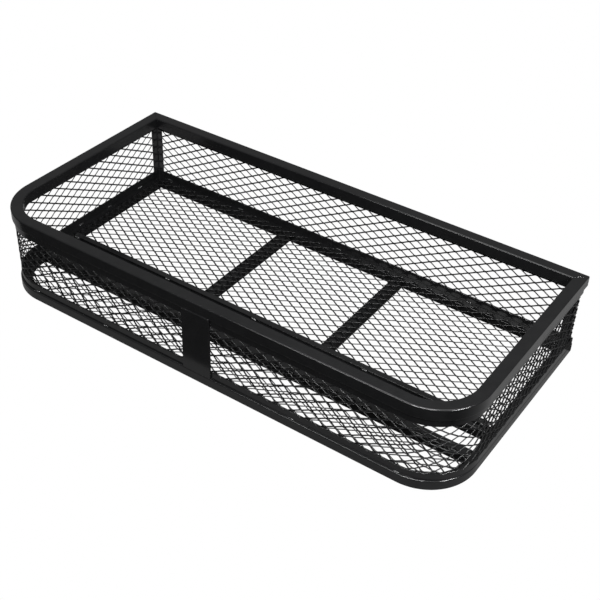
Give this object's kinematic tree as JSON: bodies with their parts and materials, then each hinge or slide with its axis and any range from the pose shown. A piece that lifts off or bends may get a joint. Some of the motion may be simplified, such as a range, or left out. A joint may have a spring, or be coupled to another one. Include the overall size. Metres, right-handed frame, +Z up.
{
  "type": "hitch cargo carrier basket",
  "caption": "Welded steel cargo basket: square-tube rim and floor frame, expanded-metal walls and floor, rounded front corners, square rear corners.",
  "frame": {"origin": "on the ground, under the middle of the basket's outline", "axes": "+X along the length to the right, +Y to the rear (the square corners), +Z up"},
  "size_m": [1.092, 0.5206, 0.1905],
  "materials": {
    "black_powder_coat": "gloss black powder coat on square steel tube and flat bar",
    "black_coated_mesh": "gloss black powder coat on expanded steel mesh",
    "black_coated_welds": "powder-coated weld beads"
  },
  "bodies": {
    "root": {"top_rim_bend": "black_powder_coat", "top_rim_rear": "black_powder_coat", "rim_band_bend": "black_powder_coat", "rim_band_rear": "black_powder_coat", "floor_frame_bend": "black_powder_coat", "floor_frame_rear": "black_powder_coat", "floor_band_bend": "black_powder_coat", "floor_band_rear": "black_powder_coat", "corner_post_left": "black_powder_coat", "corner_post_right": "black_powder_coat", "floor_rail_front": "black_powder_coat", "floor_rail_rear": "black_powder_coat", "cross_member_left": "black_powder_coat", "cross_member_right": "black_powder_coat", "mesh_clamp_strip": "black_powder_coat", "front_plate": "black_powder_coat", "wall_mesh_bend": "black_coated_mesh", "wall_mesh_rear": "black_coated_mesh", "floor_mesh_front": "black_coated_mesh", "floor_mesh_rear": "black_coated_mesh", "plate_welds": "black_coated_welds", "rim_tack_welds": "black_coated_welds", "floor_tack_welds": "black_coated_welds", "strip_tack_welds": "black_coated_welds"}
  },
  "joints": []
}
